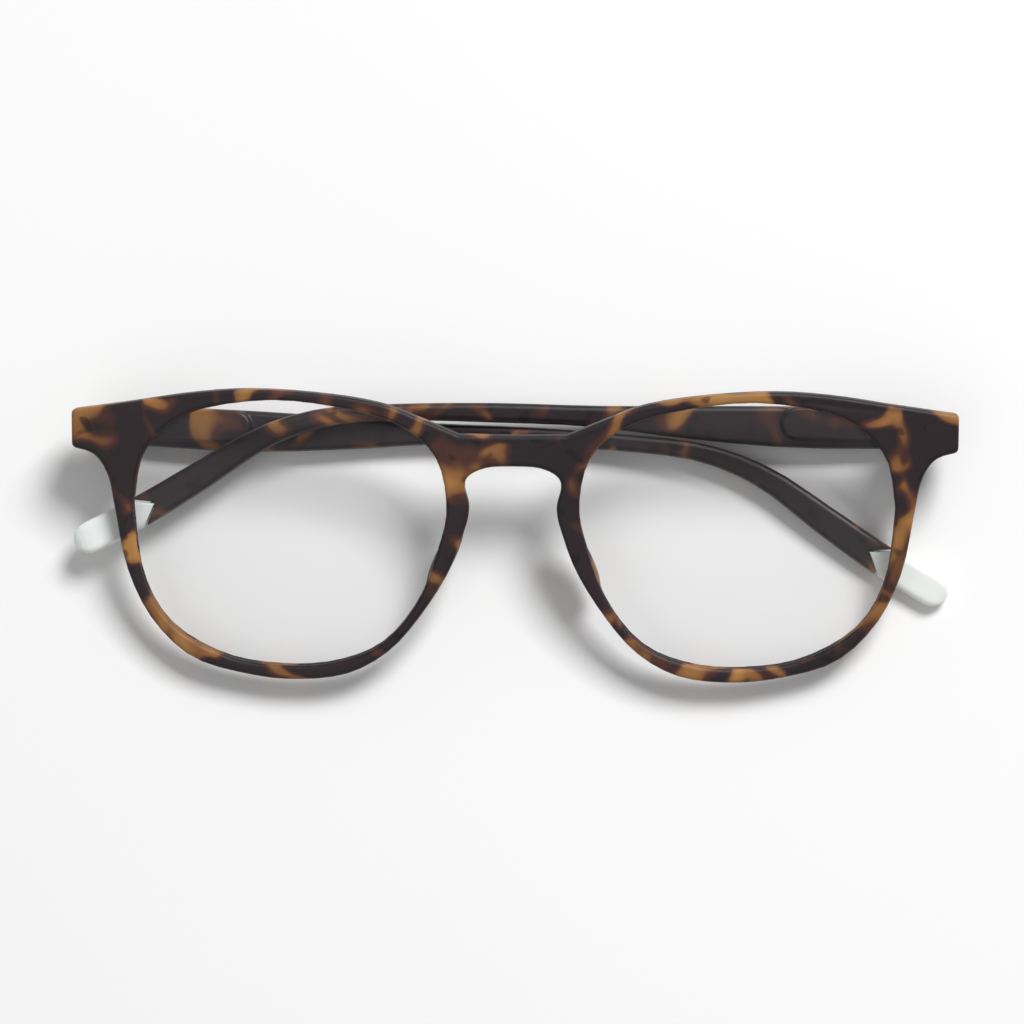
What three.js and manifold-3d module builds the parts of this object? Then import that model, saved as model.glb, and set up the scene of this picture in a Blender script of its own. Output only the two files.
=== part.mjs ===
// Glasses with clear lenses, folded and lying on a table with the front facing up: a one-piece
// moulded keyhole front, two domed lenses in grooves, and two slim temples with slip-on tips, each
// on a spring hinge. Millimetres, +Z up. Left (-X) and right (+X) are as seen from the front. The
// origin is on the table under the middle of the folded object.
import * as THREE from "three";
import { mergeVertices } from "three/addons/utils/BufferGeometryUtils.js";
import Module from "manifold-3d";

const wasm = await Module();
wasm.setup();

// ---------------------------------------------------------------- driving dimensions

// The front is modelled upright: X along it, Y up, Z forwards, from a point between the lenses.
const front = { thickness: 3.2, edgeRound: 0.5, wrapRadius: 800 };

const lens = {
  thickness: 1.5,
  dome: 2, // how far the middle stands forwards of the edge
  insert: 0.5, // how far the edge's bevelled tongue reaches into the rim
  inset: 0.3, // gap between the full thickness and the rim
  tongue: 0.25, // thickness at the tongue's tip
  edgeZ: -1.6, // the middle of the edge, behind the front face
  centre: new THREE.Vector2(35.4, -0.6),
};

// The groove narrows from its mouth at the rim's inner face to its bottom.
const groove = { depth: 0.85, mouth: 1.5, bottom: 0.75 };

const nosePad = { width: 2.9, length: 12, depth: 6.2, x: 10.9, y: -4.4, z: -5.1, lean: 26, splay: 14 };

// The right hinge in the front's frame. The left one mirrors it.
const hinge = {
  x: 64.5,
  y: 15.9,
  z: -12.5,
  pantoscopic: 8, // how far the open temples slope down, in degrees
  faceGap: 1.75, // from the screw's axis forwards to the endpiece
  knuckleRadius: 1.25,
  knuckleTop: 2.4,
  eyeTop: 0.72, // the temple's own knuckle, between the front's two
  forkFrom: 0.84,
  screwRadius: 0.5,
  screwHeadRadius: 0.95,
  boreRadius: 0.6,
};

const endpiece = { inner: -4.5, outer: 5.6, bottom: -3.8, top: 1.8, corner: 0.8, depth: 5.4 };

// The front's half of the hinge: a foot sunk into the endpiece and two knuckles behind it.
const foot = { halfWidth: 1.1, rear: 1.5, sunkTo: 3.1, gap: 0.3 };

// Each temple runs along X from the screw's axis, with Y up and Z away from the head.
// Distance from the axis, rise of the centre line, height and thickness.
const templeStations = [
  [-1.45, -0.2, 6.3, 3.6],
  [21, -0.6, 6.6, 3.6],
  [38, -0.4, 5.1, 3.2],
  [52, 0, 3.4, 2.8],
  [68, 0, 3.15, 2.8],
  [84, -0.5, 2.7, 2.8],
  [95, -1.7, 3, 2.8],
  [104.6, -5.2, 3.7, 2.8],
  [114, -11.4, 4.6, 2.9],
  [123, -17.3, 5, 3],
  [134, -23.5, 5.1, 3],
];
const temple = {
  centre: 3.3, // from the screw's axis out to the middle of the temple
  inwardCurve: 2, // how far the tip curves towards the head
  curveFrom: 60,
  edgeRound: 0.8,
  hingeEndRound: 0.35,
  endRound: 2.5,
};

// The swelling on the inner face that covers the spring case.
const housing = { start: 2, end: 22, halfHeight: 2.65, face: 0.9, sunkTo: 3.3 };

const springCase = {
  start: 2.6,
  end: 16.9,
  halfHeight: 1.9,
  inner: 1.75,
  outer: 3.85,
  bore: 0.78,
  frontWall: 0.7,
  fit: 0.3, // gap to the pocket in the temple
};

const slider = {
  axis: 2.8, // from the screw's axis out to the rod
  armFrom: 0.2,
  armTo: 2.3,
  armOuter: 3.4,
  rodRadius: 0.35,
  rodEnd: 14.9,
  headRadius: 0.6,
  headLength: 0.5,
};

const spring = { wireRadius: 0.1, coilRadius: 0.57, turns: 8, start: 3.55, end: 13.1 };

const springStop = { start: 13.35, end: 14.25, innerRadius: 0.42, outerRadius: 0.68 };

const coreWire = { radius: 0.5, boreRadius: 0.75, start: 24, end: 129 };

// The tip's front end is a wedge that points at the hinge.
const tipJoint = { at: 121.6, halfAngle: 36, gap: 0.25 };

// Each side has its own play: how steeply its folded temple climbs across the front, and the angle
// between its open and folded positions.
const sides = [
  { name: "left", sign: -1, climb: -1.65, fold: 90.7 },
  { name: "right", sign: 1, climb: 1.65, fold: 92 },
];

// How far the front's brow is propped up when the folded glasses lie on their temples, in degrees.
const restTilt = 16.6;

const finishes = {
  tortoise: { color: 0x4a342c, roughness: 0.6 },
  clear: { color: 0xf2f5f4, roughness: 0.05, transparent: true, opacity: 0.25 },
  white: { color: 0xe9ebe8, roughness: 0.5 },
  metal: { color: 0xb4b7bb, roughness: 0.35, metalness: 1 },
};

// ---------------------------------------------------------------- helpers

const radians = THREE.MathUtils.degToRad;

function solidOf(geometry) {
  const bare = geometry.index ? geometry.toNonIndexed() : geometry.clone();
  bare.deleteAttribute("normal");
  bare.deleteAttribute("uv");
  const merged = mergeVertices(bare, 1e-4);
  return new wasm.Manifold(
    new wasm.Mesh({
      numProp: 3,
      vertProperties: merged.attributes.position.array,
      triVerts: new Uint32Array(merged.index.array),
    }),
  );
}

function geometryOf(solid) {
  const { vertProperties, triVerts } = solid.getMesh();
  const geometry = new THREE.BufferGeometry();
  geometry.setAttribute("position", new THREE.BufferAttribute(vertProperties, 3));
  geometry.setIndex(new THREE.BufferAttribute(triVerts, 1));
  return geometry;
}

// Turns each face over, for a geometry that a matrix has mirrored.
function turnFaces(geometry) {
  const { array } = geometry.index;
  for (let i = 0; i < array.length; i += 3) {
    [array[i + 1], array[i + 2]] = [array[i + 2], array[i + 1]];
  }
}

function placed(solid, matrix) {
  const geometry = geometryOf(solid).applyMatrix4(matrix);
  if (matrix.determinant() < 0) turnFaces(geometry);
  return solidOf(geometry);
}

function namedMesh(name, solid, finish) {
  const geometry = geometryOf(solid).toNonIndexed();
  geometry.computeVertexNormals();
  const mesh = new THREE.Mesh(geometry, new THREE.MeshStandardMaterial(finish));
  mesh.name = name;
  return mesh;
}

function mapVertices(geometry, place) {
  const { position } = geometry.attributes;
  const point = new THREE.Vector3();
  for (let i = 0; i < position.count; i++) {
    place(point.fromBufferAttribute(position, i));
    position.setXYZ(i, point.x, point.y, point.z);
  }
  return geometry;
}

function box([x0, x1], [y0, y1], [z0, z1]) {
  const geometry = new THREE.BoxGeometry(x1 - x0, y1 - y0, z1 - z0);
  return solidOf(geometry.translate((x0 + x1) / 2, (y0 + y1) / 2, (z0 + z1) / 2));
}

// A cylinder on the screw's axis, from y0 up to y1.
function pin(radius, y0, y1, segments = 20) {
  const cylinder = new THREE.CylinderGeometry(radius, radius, y1 - y0, segments);
  return solidOf(cylinder.translate(0, (y0 + y1) / 2, 0));
}

// A cylinder along the slider's rod, from x0 to x1.
function rod(radius, x0, x1, segments = 16) {
  const cylinder = new THREE.CylinderGeometry(radius, radius, x1 - x0, segments);
  return solidOf(cylinder.rotateZ(Math.PI / 2).translate((x0 + x1) / 2, 0, slider.axis));
}

// A closed skin through a row of rings that all have the same number of points.
function loft(rings) {
  const count = rings[0].length;
  const middle = (ring) => ring.reduce((sum, p) => sum.add(p), new THREE.Vector3()).divideScalar(count);
  const points = [...rings.flat(), middle(rings[0]), middle(rings[rings.length - 1])];
  const faces = [];
  for (let i = 0; i < count; i++) {
    const next = (i + 1) % count;
    for (let r = 0; r < rings.length - 1; r++) {
      const a = r * count;
      const b = a + count;
      faces.push(a + i, a + next, b + i, a + next, b + next, b + i);
    }
    const last = (rings.length - 1) * count;
    faces.push(points.length - 2, next, i, points.length - 1, last + i, last + next);
  }
  const geometry = new THREE.BufferGeometry().setFromPoints(points);
  geometry.setIndex(faces);
  return solidOf(geometry);
}

// ---------------------------------------------------------------- front

const wrap = (x) => (x * x) / (2 * front.wrapRadius);

const wrapRound = (geometry) => mapVertices(geometry, (p) => (p.z -= wrap(p.x)));

const pointList = (pairs) => pairs.map(([x, y]) => new THREE.Vector2(x, y));

// The +X half of the outline: up the nose from the keyhole, round the rim, and back along the brow.
function halfOutline() {
  const keyhole = pointList([[4, 10.5], [6.9, 9.2], [7.6, 7.4], [6.9, 4.4], [7.2, 1.8]]);
  const rim = pointList([
    [9.7, -5.3], [13.9, -12.3], [19.3, -18.7], [26, -22.6], [34, -23.7], [42, -23], [51, -20.4],
    [57.5, -14.3], [61.4, -6.2], [63.2, 2.8], [64.3, 8.4], [66.4, 11.8], [69.6, 12.9],
  ]);
  const brow = pointList([
    [60.5, 20.4], [50, 22], [40.5, 22.6], [29.3, 21.9], [20.7, 20.5], [14.5, 18.2], [8.5, 15.7],
  ]);
  const shape = new THREE.Shape();
  shape.moveTo(0, 10.7);
  shape.splineThru(keyhole);
  shape.splineThru(rim);
  shape.quadraticCurveTo(70.1, 13.1, 70.1, 13.7);
  shape.lineTo(70.1, 18.4);
  shape.quadraticCurveTo(70.1, 19, 69.4, 19.1);
  shape.splineThru(brow);
  shape.lineTo(0, 15.6);
  return shape.getPoints(3);
}

function outline() {
  const right = halfOutline();
  const left = right.slice(1, -1).reverse();
  return [...right, ...left.map((p) => new THREE.Vector2(-p.x, p.y))];
}

const openingCurve = new THREE.SplineCurve(pointList([
  [60.3, 4], [58.6, 12.2], [52.2, 18.3], [39.8, 20.8], [28, 19.9], [18, 17.1], [12.2, 12],
  [10.5, 4.2], [11.8, -2.4], [15, -10.8], [20.6, -17.6], [28.2, -20.8], [37, -21.4], [46, -19.9],
  [54.4, -15], [58.9, -7.1], [60.3, 4],
]));

// The lens opening's edge, moved outwards by grow.
function openingOutline(grow, count = 56) {
  return Array.from({ length: count }, (_, i) => {
    const at = openingCurve.getPoint(i / count);
    const ahead = openingCurve.getPoint(((i + 0.5) / count) % 1);
    const behind = openingCurve.getPoint((i + count - 0.5) / count % 1);
    const along = ahead.sub(behind).normalize();
    return new THREE.Vector2(at.x + along.y * grow, at.y - along.x * grow);
  });
}

const mirrorX = (sign) => new THREE.Matrix4().makeScale(sign, 1, 1);

// A disc with a bevelled edge that cuts the groove round the inside of a rim.
function grooveCutter() {
  const { depth, mouth, bottom } = groove;
  const bevel = (mouth - bottom) / 2;
  const disc = new THREE.ExtrudeGeometry(new THREE.Shape(openingOutline(depth)), {
    depth: bottom,
    bevelThickness: bevel,
    bevelSize: depth,
    bevelOffset: -depth,
    bevelSegments: 1,
  });
  return solidOf(wrapRound(disc.translate(0, 0, lens.edgeZ - bottom / 2)));
}

function padSolid() {
  const pad = new THREE.SphereGeometry(0.5, 14, 10).scale(nosePad.width, nosePad.length, nosePad.depth);
  pad.rotateY(radians(nosePad.splay)).rotateZ(radians(nosePad.lean));
  return solidOf(pad.translate(nosePad.x, nosePad.y, nosePad.z));
}

// The block behind each end of the front that the hinge is sunk into, in the hinge's frame.
function endpieceSolid() {
  const { inner, outer, bottom, top, corner, depth } = endpiece;
  const shape = new THREE.Shape();
  shape.absarc(outer - corner, bottom + corner, corner, -Math.PI / 2, 0);
  shape.absarc(outer - corner, top - corner, corner, 0, Math.PI / 2);
  shape.absarc(inner + corner, top - corner, corner, Math.PI / 2, Math.PI);
  shape.absarc(inner + corner, bottom + corner, corner, Math.PI, 1.5 * Math.PI);
  const block = new THREE.ExtrudeGeometry(shape, { depth, bevelEnabled: false, curveSegments: 3 });
  return solidOf(block.translate(0, 0, hinge.faceGap));
}

function footPocket() {
  const { halfWidth, sunkTo, gap } = foot;
  const half = hinge.knuckleTop + gap;
  return box([-halfWidth - gap, halfWidth + gap], [-half, half], [0, sunkTo + gap]);
}

function frontSolid() {
  const { thickness, edgeRound } = front;
  const shape = new THREE.Shape(outline());
  const opening = openingOutline(0);
  const openingOn = (sign) => new THREE.Path(opening.map((p) => new THREE.Vector2(sign * p.x, p.y)));
  shape.holes = [openingOn(1), openingOn(-1)];
  const plate = new THREE.ExtrudeGeometry(shape, {
    depth: thickness - 2 * edgeRound,
    bevelThickness: edgeRound,
    bevelSize: edgeRound,
    bevelOffset: -edgeRound,
    bevelSegments: 2,
  });
  let solid = solidOf(wrapRound(plate.translate(0, 0, edgeRound - thickness)));
  for (const side of sides) {
    const atHinge = hingeMatrix(side);
    const mirrored = mirrorX(side.sign);
    solid = solid.add(placed(endpieceSolid(), atHinge)).add(placed(padSolid(), mirrored));
    solid = solid.subtract(placed(footPocket(), atHinge)).subtract(placed(grooveCutter(), mirrored));
  }
  return solid;
}

function lensSolid() {
  const rings = 4;
  const face = (z) => Array.from({ length: rings + 1 }, (_, i) => new THREE.Vector2(i / rings, z));
  const half = lens.thickness / 2;
  const edge = openingOutline(-lens.inset);
  const tongue = openingOutline(lens.insert);
  const tongueMark = 1.5; // a radius past the edge's 1, which marks the tongue's ring
  const tip = [-1, 1].map((side) => new THREE.Vector2(tongueMark, (side * lens.tongue) / 2));
  const profile = [...face(-half), ...tip, ...face(half).reverse()];
  const disc = new THREE.LatheGeometry(profile, edge.length).rotateX(Math.PI / 2);
  mapVertices(disc, (p) => {
    let radius = Math.hypot(p.x, p.y);
    const turn = (Math.atan2(p.y, p.x) / (2 * Math.PI) + 1) % 1;
    const onTongue = radius > (1 + tongueMark) / 2;
    const rim = (onTongue ? tongue : edge)[Math.round(turn * edge.length) % edge.length];
    if (onTongue) radius = 1;
    p.x = lens.centre.x + radius * (rim.x - lens.centre.x);
    p.y = lens.centre.y + radius * (rim.y - lens.centre.y);
    p.z += lens.edgeZ + lens.dome * (1 - radius * radius) - wrap(p.x);
  });
  return solidOf(disc);
}

// ---------------------------------------------------------------- hinge

// The hinge's frame: X outwards, Y up the screw, Z forwards through the endpiece.
function hingeMatrix(side) {
  const climb = radians(side.climb);
  const drop = radians(hinge.pantoscopic);
  const forwards = new THREE.Vector3(0, Math.sin(drop), Math.cos(drop));
  const up = new THREE.Vector3(Math.tan(climb), 1, -Math.tan(drop)).normalize();
  const outwards = new THREE.Vector3().crossVectors(up, forwards);
  const frame = new THREE.Matrix4().makeBasis(outwards, up, forwards);
  return mirrorX(side.sign).multiply(frame.setPosition(hinge.x, hinge.y, hinge.z));
}

// The temple's frame, turned about the screw by the fold angle.
function templeMatrix(side) {
  const open = new THREE.Matrix4().makeRotationY(Math.PI / 2);
  return hingeMatrix(side).multiply(open.premultiply(new THREE.Matrix4().makeRotationY(radians(side.fold))));
}

const bore = () => pin(hinge.boreRadius, -5, 5);

function frontHingeSolid() {
  const { knuckleRadius, knuckleTop, forkFrom } = hinge;
  const { halfWidth, rear, sunkTo } = foot;
  const width = [-halfWidth, halfWidth];
  let solid = box(width, [-knuckleTop, knuckleTop], [rear, sunkTo]);
  for (const [low, high] of [[-knuckleTop, -forkFrom], [forkFrom, knuckleTop]]) {
    solid = solid.add(pin(knuckleRadius, low, high)).add(box(width, [low, high], [0, rear + 0.1]));
  }
  return solid.subtract(bore());
}

function screwSolid() {
  const { screwRadius, screwHeadRadius, knuckleTop } = hinge;
  const headBase = knuckleTop + 0.1;
  const shank = pin(screwRadius, -knuckleTop, headBase + 0.1, 14);
  const head = pin(screwHeadRadius, headBase, headBase + 0.5, 18);
  return shank.add(head).subtract(box([-1, 1], [headBase + 0.28, headBase + 1], [-0.13, 0.13]));
}

function sliderSolid() {
  const { eyeTop, knuckleRadius } = hinge;
  const { armFrom, armTo, armOuter, rodRadius, rodEnd, headRadius, headLength } = slider;
  const arm = box([armFrom, armTo], [-eyeTop, eyeTop], [-0.9, armOuter]);
  const eye = pin(knuckleRadius, -eyeTop, eyeTop);
  const knuckle = eye.add(arm).subtract(bore());
  return knuckle.add(rod(rodRadius, armTo - 0.5, rodEnd)).add(rod(headRadius, rodEnd - headLength, rodEnd));
}

function caseSolid() {
  const { start, end, halfHeight, inner, outer, frontWall } = springCase;
  const body = box([start, end], [-halfHeight, halfHeight], [inner, outer]);
  const hollow = rod(springCase.bore, start + frontWall, end + 1);
  return body.subtract(hollow).subtract(rod(slider.rodRadius + 0.15, start - 1, end));
}

class Helix extends THREE.Curve {
  getPoint(t, target = new THREE.Vector3()) {
    const angle = 2 * Math.PI * spring.turns * t;
    const x = THREE.MathUtils.lerp(spring.start, spring.end, t);
    const { coilRadius } = spring;
    return target.set(x, coilRadius * Math.cos(angle), slider.axis + coilRadius * Math.sin(angle));
  }
}

function springSolid() {
  const section = new THREE.Shape();
  section.absarc(0, 0, spring.wireRadius, 0, 2 * Math.PI);
  const coil = new THREE.ExtrudeGeometry(section, {
    extrudePath: new Helix(),
    steps: spring.turns * 12,
    curveSegments: 5,
  });
  return solidOf(coil);
}

function stopSolid() {
  const { start, end, innerRadius, outerRadius } = springStop;
  return rod(outerRadius, start, end, 14).subtract(rod(innerRadius, start - 1, end + 1, 14));
}

// ---------------------------------------------------------------- temple

const inwards = (x) => temple.inwardCurve * (Math.max(0, x - temple.curveFrom) / 75) ** 2;

const centreLine = new THREE.CatmullRomCurve3(
  templeStations.map(([x, y]) => new THREE.Vector3(x, y, temple.centre - inwards(x))),
);
const sectionSizes = new THREE.CatmullRomCurve3(
  templeStations.map(([x, , height, thickness]) => new THREE.Vector3(x, height, thickness)),
);

// Where the centre line is x millimetres from the screw's axis, found by halving.
function parameterAt(x) {
  let [low, high] = [0, 1];
  while (high - low > 1e-6) {
    const middle = (low + high) / 2;
    if (centreLine.getPoint(middle).x < x) low = middle;
    else high = middle;
  }
  return low;
}

// A rounded rectangle across the temple at parameter t, scaled about the centre line.
function templeRing(t, scale = 1) {
  const centre = centreLine.getPoint(t);
  const along = centreLine.getTangent(t);
  const up = new THREE.Vector3(-along.y, along.x, 0).normalize();
  const { y: height, z: thickness } = sectionSizes.getPoint(t);
  const round = temple.edgeRound * scale;
  const ring = [];
  for (let corner = 0; corner < 4; corner++) {
    const signY = corner === 0 || corner === 3 ? 1 : -1;
    const signZ = corner < 2 ? 1 : -1;
    for (const step of [0, 0.5, 1]) {
      const angle = ((corner + step) * Math.PI) / 2;
      const y = signY * ((height * scale) / 2 - round) + round * Math.cos(angle);
      const z = signZ * ((thickness * scale) / 2 - round) + round * Math.sin(angle);
      ring.push(centre.clone().addScaledVector(up, y).add(new THREE.Vector3(0, 0, z)));
    }
  }
  return ring;
}

function fullTempleSolid() {
  const [first, last] = [templeStations[0][0], templeStations.at(-1)[0]];
  const start = parameterAt(first + temple.hingeEndRound);
  const rings = [templeRing(0, 0.88), templeRing(start)];
  const steps = 27;
  const roundFrom = parameterAt(last - temple.endRound);
  for (let i = 1; i <= steps; i++) {
    rings.push(templeRing(THREE.MathUtils.lerp(start, roundFrom, i / steps)));
  }
  for (const part of [0.35, 0.65, 0.87, 1]) {
    const scale = Math.max(0.25, Math.sqrt(1 - part * part));
    rings.push(templeRing(THREE.MathUtils.lerp(roundFrom, 1, part), scale));
  }
  return loft(rings);
}

// The swelling over the spring case, with a half-round far end.
function housingSolid() {
  const { start, end, halfHeight, face, sunkTo } = housing;
  const shape = new THREE.Shape();
  shape.absarc(end - halfHeight, 0, halfHeight, -Math.PI / 2, Math.PI / 2);
  shape.lineTo(start, halfHeight);
  shape.lineTo(start, -halfHeight);
  const bevel = 0.35;
  const pad = new THREE.ExtrudeGeometry(shape, {
    depth: sunkTo - face - bevel,
    bevelThickness: bevel,
    bevelSize: bevel,
    bevelOffset: -bevel,
    bevelSegments: 1,
    curveSegments: 8,
  });
  return solidOf(pad.translate(0, 0, face + bevel));
}

// Everything from the tip joint to the end of the temple, grown by gap.
function tipRegion(gap) {
  const t = parameterAt(tipJoint.at);
  const apex = centreLine.getPoint(t);
  const along = centreLine.getTangent(t);
  const [reach, half] = [30, 6];
  const back = gap / Math.sin(radians(tipJoint.halfAngle));
  const flare = half / Math.tan(radians(tipJoint.halfAngle));
  const corners = [[-back, 0], [flare - back, -half], [reach, -half], [reach, half], [flare - back, half]];
  const shape = new THREE.Shape(pointList(corners));
  const prism = new THREE.ExtrudeGeometry(shape, { depth: 12, bevelEnabled: false });
  prism.rotateZ(Math.atan2(along.y, along.x));
  return solidOf(prism.translate(apex.x, apex.y, -4));
}

// A round bar along the centre line.
function bar(radius, from, to) {
  const [t0, t1] = [parameterAt(from), parameterAt(to)];
  const rings = [];
  for (let i = 0; i <= 18; i++) {
    const t = THREE.MathUtils.lerp(t0, t1, i / 18);
    const centre = centreLine.getPoint(t);
    const along = centreLine.getTangent(t);
    const up = new THREE.Vector3(-along.y, along.x, 0).normalize();
    const ring = [];
    for (let k = 0; k < 10; k++) {
      const angle = (k * Math.PI) / 5;
      const outwards = new THREE.Vector3(0, 0, radius * Math.sin(angle));
      ring.push(outwards.add(centre).addScaledVector(up, radius * Math.cos(angle)));
    }
    rings.push(ring);
  }
  return loft(rings);
}

function templeParts() {
  const full = fullTempleSolid();
  const { start, end, halfHeight, inner, outer, fit } = springCase;
  const pocket = box([-3, end + fit], [-halfHeight - fit, halfHeight + fit], [inner - fit, outer + fit]);
  const mouth = box([-3, start - fit], [-halfHeight - fit, halfHeight + fit], [0, outer + fit]);
  const wireBore = bar(coreWire.boreRadius, coreWire.start - 0.3, coreWire.end + 0.3);
  const body = full.add(housingSolid()).subtract(pocket).subtract(mouth).subtract(tipRegion(tipJoint.gap));
  return {
    body: body.subtract(wireBore),
    tip: full.intersect(tipRegion(0)).subtract(wireBore),
    wire: bar(coreWire.radius, coreWire.start, coreWire.end),
  };
}

// ---------------------------------------------------------------- assembly

const glasses = new THREE.Group();
glasses.name = "glasses";
glasses.add(namedMesh("front_frame", frontSolid(), finishes.tortoise));

const { body, tip, wire } = templeParts();
for (const side of sides) {
  const onFront = mirrorX(side.sign);
  const onHinge = hingeMatrix(side);
  const onTemple = templeMatrix(side);
  const pieces = [
    ["lens", lensSolid(), onFront, finishes.clear],
    ["front_hinge", frontHingeSolid(), onHinge, finishes.metal],
    ["hinge_screw", screwSolid(), onHinge, finishes.metal],
    ["hinge_slider", sliderSolid(), onTemple, finishes.metal],
    ["spring_case", caseSolid(), onTemple, finishes.metal],
    ["hinge_spring", springSolid(), onTemple, finishes.metal],
    ["spring_stop", stopSolid(), onTemple, finishes.metal],
    ["temple", body, onTemple, finishes.tortoise],
    ["core_wire", wire, onTemple, finishes.metal],
    ["temple_tip", tip, onTemple, finishes.white],
  ];
  for (const [name, solid, matrix, finish] of pieces) {
    glasses.add(namedMesh(`${side.name}_${name}`, placed(solid, matrix), finish));
  }
}

// Laid on the table and centred over the origin.
glasses.rotation.x = radians(restTilt);
glasses.updateMatrixWorld(true);
const bounds = new THREE.Box3().setFromObject(glasses, true);
const middle = bounds.getCenter(new THREE.Vector3());
glasses.position.set(-middle.x, -middle.y, -bounds.min.z);

export default glasses;
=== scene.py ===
"""Looks for the folded glasses: matte mottled plastic, clear lenses, white tips and steel hinges."""
import math

import bpy
from mathutils import Matrix, Vector


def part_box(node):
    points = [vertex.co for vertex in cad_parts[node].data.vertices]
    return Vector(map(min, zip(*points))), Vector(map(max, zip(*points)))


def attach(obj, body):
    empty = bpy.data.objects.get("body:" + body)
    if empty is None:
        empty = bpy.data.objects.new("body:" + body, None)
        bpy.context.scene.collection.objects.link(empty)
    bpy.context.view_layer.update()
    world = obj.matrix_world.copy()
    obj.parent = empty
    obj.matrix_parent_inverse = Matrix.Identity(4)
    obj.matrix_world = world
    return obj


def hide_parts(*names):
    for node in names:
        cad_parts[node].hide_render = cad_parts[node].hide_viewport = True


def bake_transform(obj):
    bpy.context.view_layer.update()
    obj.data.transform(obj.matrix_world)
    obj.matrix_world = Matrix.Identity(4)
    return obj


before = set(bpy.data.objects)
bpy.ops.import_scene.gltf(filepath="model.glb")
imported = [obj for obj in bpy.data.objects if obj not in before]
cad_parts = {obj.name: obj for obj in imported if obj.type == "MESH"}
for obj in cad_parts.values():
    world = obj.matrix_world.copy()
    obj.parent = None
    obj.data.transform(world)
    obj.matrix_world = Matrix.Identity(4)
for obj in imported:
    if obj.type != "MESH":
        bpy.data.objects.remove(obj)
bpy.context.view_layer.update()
MM = 0.001

# ---------------------------------------------------------------- camera

CAMERA_DISTANCE = 0.65
CAMERA_LENS = 144.5
LEAN = math.radians(8.6)  # from straight above towards the rims' lower edge
SIDE_LEAN = math.radians(2)  # and towards the right end
ROLL = math.radians(0.4)


def middle(node):
    low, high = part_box(node)
    return (low + high) / 2


def add_camera():
    back = Vector((math.sin(SIDE_LEAN), -math.sin(LEAN), math.cos(LEAN))).normalized()
    along = Vector((1, 0, 0))
    right = (along - along.dot(back) * back).normalized()
    up = back.cross(right)
    between_lenses = (middle("left_lens") + middle("right_lens")) / 2
    aim = between_lenses + up * 3.5 * MM - right * 0.2 * MM
    data = bpy.data.cameras.new("camera")
    data.lens = CAMERA_LENS
    data.clip_start = 0.01
    camera = bpy.data.objects.new("camera", data)
    bpy.context.scene.collection.objects.link(camera)
    turn = Matrix((right, up, back)).transposed() @ Matrix.Rotation(ROLL, 3, "Z")
    camera.matrix_world = Matrix.Translation(aim + back * CAMERA_DISTANCE) @ turn.to_4x4()
    bpy.context.scene.camera = camera


# ---------------------------------------------------------------- materials


class Shader:
    """A material being built: add() makes a node, and link() joins two sockets."""

    def __init__(self, name):
        self.material = bpy.data.materials.new(name)
        self.material.use_nodes = True
        self.nodes = self.material.node_tree.nodes
        self.surface = self.nodes["Principled BSDF"]
        self.place = self.add("ShaderNodeTexCoord").outputs["Object"]

    def add(self, kind, **settings):
        node = self.nodes.new(kind)
        for key, value in settings.items():
            setattr(node, key, value)
        return node

    def link(self, output, node, socket):
        self.material.node_tree.links.new(output, node.inputs[socket])

    def noise(self, scale, detail=2.0, roughness=0.5, distortion=0.0):
        node = self.add("ShaderNodeTexNoise")
        node.inputs["Scale"].default_value = scale
        node.inputs["Detail"].default_value = detail
        node.inputs["Roughness"].default_value = roughness
        node.inputs["Distortion"].default_value = distortion
        self.link(self.place, node, "Vector")
        return node.outputs["Fac"]

    def ramp(self, factor, stops):
        node = self.add("ShaderNodeValToRGB")
        elements = node.color_ramp.elements
        while len(elements) < len(stops):
            elements.new(0.5)
        for element, (position, colour) in zip(elements, stops):
            element.position = position
            element.color = (*colour, 1)
        self.link(factor, node, "Fac")
        return node.outputs["Color"]

    def mix(self, factor, first, second, blend="MIX"):
        node = self.add("ShaderNodeMix", data_type="RGBA", blend_type=blend)
        if isinstance(factor, float):
            node.inputs["Factor"].default_value = factor
        else:
            self.link(factor, node, "Factor")
        self.link(first, node, "A")
        self.link(second, node, "B")
        return node.outputs["Result"]

    def spread(self, factor, low, high):
        """A factor of 0 to 1 turned into a value from low to high."""
        node = self.add("ShaderNodeMapRange")
        node.inputs["To Min"].default_value = low
        node.inputs["To Max"].default_value = high
        self.link(factor, node, "Value")
        return node.outputs["Result"]

    def bump(self, height, distance, strength=1.0):
        node = self.add("ShaderNodeBump")
        node.inputs["Distance"].default_value = distance
        node.inputs["Strength"].default_value = strength
        self.link(height, node, "Height")
        self.link(node.outputs["Normal"], self.surface, "Normal")

    def set(self, **values):
        for key, value in values.items():
            self.surface.inputs[key.replace("_", " ")].default_value = value


DARK = (0.016, 0.009, 0.012)
RED_BROWN = (0.075, 0.024, 0.014)
AMBER = (0.215, 0.094, 0.026)
HONEY = (0.34, 0.17, 0.048)


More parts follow.
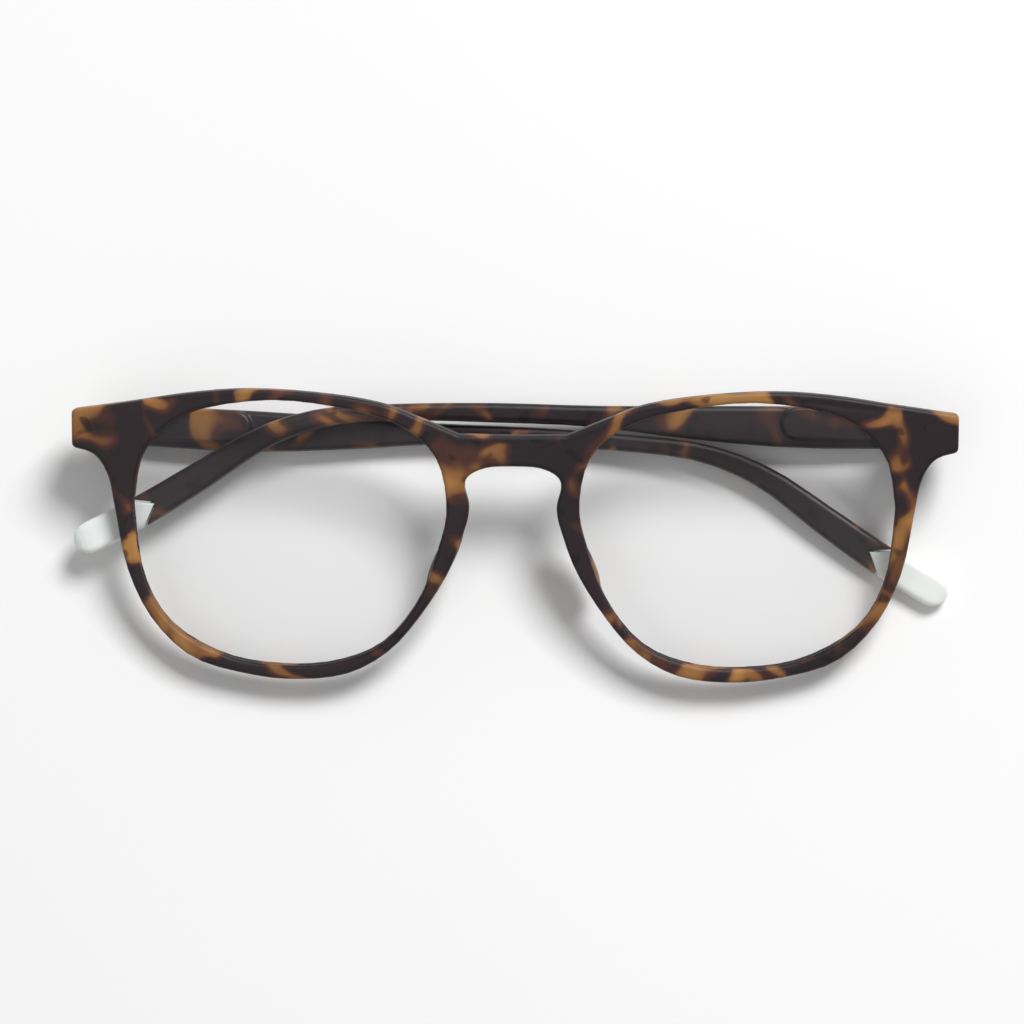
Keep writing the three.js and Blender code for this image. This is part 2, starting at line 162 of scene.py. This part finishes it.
def tortoise(name, roughness, drift, amber_from):
    """Near-black brown with amber patches, 3 to 10 mm across, that melt into it through red.

    Patches show where the noise passes amber_from, so a higher value leaves fewer of them.
    """
    shader = Shader(name)
    shift = shader.add("ShaderNodeVectorMath", operation="ADD")
    shift.inputs[1].default_value = drift
    shader.link(shader.place, shift, 0)
    shader.place = shift.outputs["Vector"]
    patches = shader.noise(118, detail=1.0, roughness=0.4, distortion=0.9)
    stops = [(0, DARK), (amber_from - 0.08, DARK), (amber_from - 0.015, RED_BROWN)]
    stops += [(amber_from + 0.03, AMBER), (amber_from + 0.15, HONEY)]
    base = shader.ramp(patches, stops)
    clear, fleck = (1, 1, 1), (0.2, 0.13, 0.13)
    flecks = shader.ramp(shader.noise(300, detail=1), [(0, clear), (0.63, clear), (0.69, fleck)])
    cloud = shader.ramp(shader.noise(60, detail=3), [(0.3, (0.72, 0.68, 0.70)), (0.7, (1.2, 1.12, 1.05))])
    mottled = shader.mix(0.75, base, flecks, "MULTIPLY")
    shader.link(shader.mix(1.0, mottled, cloud, "MULTIPLY"), shader.surface, "Base Color")
    gloss = shader.spread(shader.noise(900, detail=3), roughness - 0.06, roughness + 0.08)
    shader.link(gloss, shader.surface, "Roughness")
    shader.bump(shader.noise(5200, detail=2), 0.02 * MM, 0.5)
    shader.set(Specular_IOR_Level=0.35, Sheen_Weight=0.04, Sheen_Roughness=0.5)
    return shader.material


def white_plastic():
    shader = Shader("white_tip")
    base_colour = shader.ramp(shader.noise(90, detail=3), [(0.3, (0.74, 0.79, 0.77)), (0.7, (0.84, 0.86, 0.85))])
    shader.link(base_colour, shader.surface, "Base Color")
    shader.link(shader.spread(shader.noise(800, detail=3), 0.38, 0.55), shader.surface, "Roughness")
    shader.bump(shader.noise(4800, detail=2), 0.015 * MM, 0.4)
    shader.set(Subsurface_Weight=0.15, Subsurface_Scale=0.002)
    return shader.material


def clear_lens():
    shader = Shader("clear_lens")
    # Painted reflection: the lens's grey colour shows through a veil that is nearly clear face-on and
    # thickens towards grazing angles, standing in for the glass reflecting more light edge-on; face-on it
    # only dims what lies behind a little.
    base_colour = shader.ramp(shader.noise(14, detail=1), [(0.3, (0.42, 0.44, 0.45)), (0.7, (0.48, 0.5, 0.5))])
    shader.link(base_colour, shader.surface, "Base Color")
    edge_on = shader.add("ShaderNodeLayerWeight").outputs["Facing"]
    shader.link(shader.spread(edge_on, 0.008, 0.25), shader.surface, "Alpha")
    shader.link(shader.spread(shader.noise(50, detail=2), 0.02, 0.05), shader.surface, "Roughness")
    shader.set(Specular_IOR_Level=0.2)
    return shader.material


def steel(name, colour, roughness):
    shader = Shader(name)
    darker = tuple(0.75 * channel for channel in colour)
    brushed = shader.noise(2600, detail=4, roughness=0.7)
    shader.link(shader.ramp(brushed, [(0.35, darker), (0.65, colour)]), shader.surface, "Base Color")
    shader.link(shader.spread(brushed, roughness - 0.1, roughness + 0.15), shader.surface, "Roughness")
    shader.bump(brushed, 0.01 * MM, 0.5)
    shader.set(Metallic=1.0)
    return shader.material


def floor_paint():
    shader = Shader("floor_paint")
    tone = shader.ramp(shader.noise(3, detail=3), [(0.3, (0.86, 0.86, 0.86)), (0.7, (0.88, 0.88, 0.88))])
    shader.link(tone, shader.surface, "Base Color")
    shader.set(Roughness=0.9, Specular_IOR_Level=0.1)
    return shader.material


# ---------------------------------------------------------------- pieces


def finish_mesh(mesh, material, crease=40):
    mesh.materials.clear()
    mesh.materials.append(material)
    mesh.polygons.foreach_set("material_index", [0] * len(mesh.polygons))
    mesh.shade_smooth()
    mesh.set_sharp_from_angle(angle=math.radians(crease))


def moulded(name, node, body, material, voxel=0.24 * MM, passes=5):
    """A smooth skin over a CAD node, as it leaves the mould: edges and joins melt into each other."""
    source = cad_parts[node]
    piece = bpy.data.objects.new(name, source.data.copy())
    bpy.context.scene.collection.objects.link(piece)
    remesh = piece.modifiers.new("remesh", "REMESH")
    remesh.mode = "VOXEL"
    remesh.voxel_size = voxel
    smooth = piece.modifiers.new("smooth", "SMOOTH")
    smooth.factor = 0.5
    smooth.iterations = passes
    graph = bpy.context.evaluated_depsgraph_get()
    skin = bpy.data.meshes.new_from_object(piece.evaluated_get(graph))
    piece.modifiers.clear()
    piece.data = skin
    finish_mesh(skin, material, 60)
    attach(piece, body)
    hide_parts(node)
    return piece


def refinished(name, node, material):
    """A copy of a CAD node with its facets shaded as the round surfaces that they stand for."""
    piece = bpy.data.objects.new(name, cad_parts[node].data.copy())
    bpy.context.scene.collection.objects.link(piece)
    weld = piece.modifiers.new("weld", "WELD")
    weld.merge_threshold = 0.002 * MM
    graph = bpy.context.evaluated_depsgraph_get()
    skin = bpy.data.meshes.new_from_object(piece.evaluated_get(graph))
    piece.modifiers.clear()
    piece.data = skin
    finish_mesh(skin, material)
    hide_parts(node)
    return piece


def add_coil(side, material):
    """The hinge spring, which on the real glasses is pressed between the stop and the case as the temple
    slides out; here it is a copy of its CAD node with its placement baked in, attached to no body.
    """
    coil = refinished(f"{side}_steel_hinge_spring", f"{side}_hinge_spring", material)
    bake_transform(coil)


def add_glasses():
    front_plastic = tortoise("tortoise_front", 0.5, (0.0131, 0.0, 0.0), 0.55)
    white = white_plastic()
    lens = clear_lens()
    hinge_steel = steel("hinge_steel", (0.62, 0.62, 0.64), 0.35)
    spring_steel = steel("spring_steel", (0.45, 0.45, 0.48), 0.3)
    moulded("front_moulding", "front_frame", "front", front_plastic)
    for index, side in enumerate(("left", "right")):
        arm = f"{side}_temple_arm"
        temple_plastic = tortoise(f"tortoise_{side}_temple", 0.4, (0.05 + 0.1 * index, 0.02, 0.0), 0.61)
        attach(refinished(f"{side}_clear_lens", f"{side}_lens", lens), "front")
        moulded(f"{side}_temple_bar", f"{side}_temple", arm, temple_plastic, 0.2 * MM, 4)
        moulded(f"{side}_slip_on_tip", f"{side}_temple_tip", arm, white, 0.2 * MM, 3)
        steel_pieces = {
            "front_hinge": "front",
            "hinge_screw": "front",
            "hinge_slider": f"{side}_slider",
            "spring_stop": f"{side}_slider",
            "spring_case": arm,
        }
        for node, body in steel_pieces.items():
            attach(refinished(f"{side}_steel_{node}", f"{side}_{node}", hinge_steel), body)
        core = refinished(f"{side}_steel_core_wire", f"{side}_core_wire", spring_steel)
        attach(core, arm)
        add_coil(side, spring_steel)


# ---------------------------------------------------------------- floor and light


def add_floor():
    half = 3
    corners = [(-half, -half, 0), (half, -half, 0), (half, half, 0), (-half, half, 0)]
    mesh = bpy.data.meshes.new("floor")
    mesh.from_pydata(corners, [], [(0, 1, 2, 3)])
    mesh.materials.append(floor_paint())
    floor = bpy.data.objects.new("floor", mesh)
    bpy.context.scene.collection.objects.link(floor)


def add_lamp(name, towards, distance, size, power):
    data = bpy.data.lights.new(name, "AREA")
    data.size = size
    data.energy = power
    lamp = bpy.data.objects.new(name, data)
    bpy.context.scene.collection.objects.link(lamp)
    direction = Vector(towards).normalized()
    lamp.location = direction * distance
    lamp.rotation_euler = direction.to_track_quat("Z", "Y").to_euler()


def add_light():
    world = bpy.data.worlds.new("studio")
    world.use_nodes = True
    world.node_tree.nodes["Background"].inputs["Color"].default_value = (1, 1, 1, 1)
    world.node_tree.nodes["Background"].inputs["Strength"].default_value = 0.3
    bpy.context.scene.world = world
    add_lamp("key", (0.45, 0.65, 1), 1.6, 0.6, 24)
    add_lamp("fill", (-0.4, -0.5, 1.2), 2, 1.4, 5)


bpy.context.scene.view_settings.view_transform = "Standard"
add_camera()
add_glasses()
add_floor()
add_light()
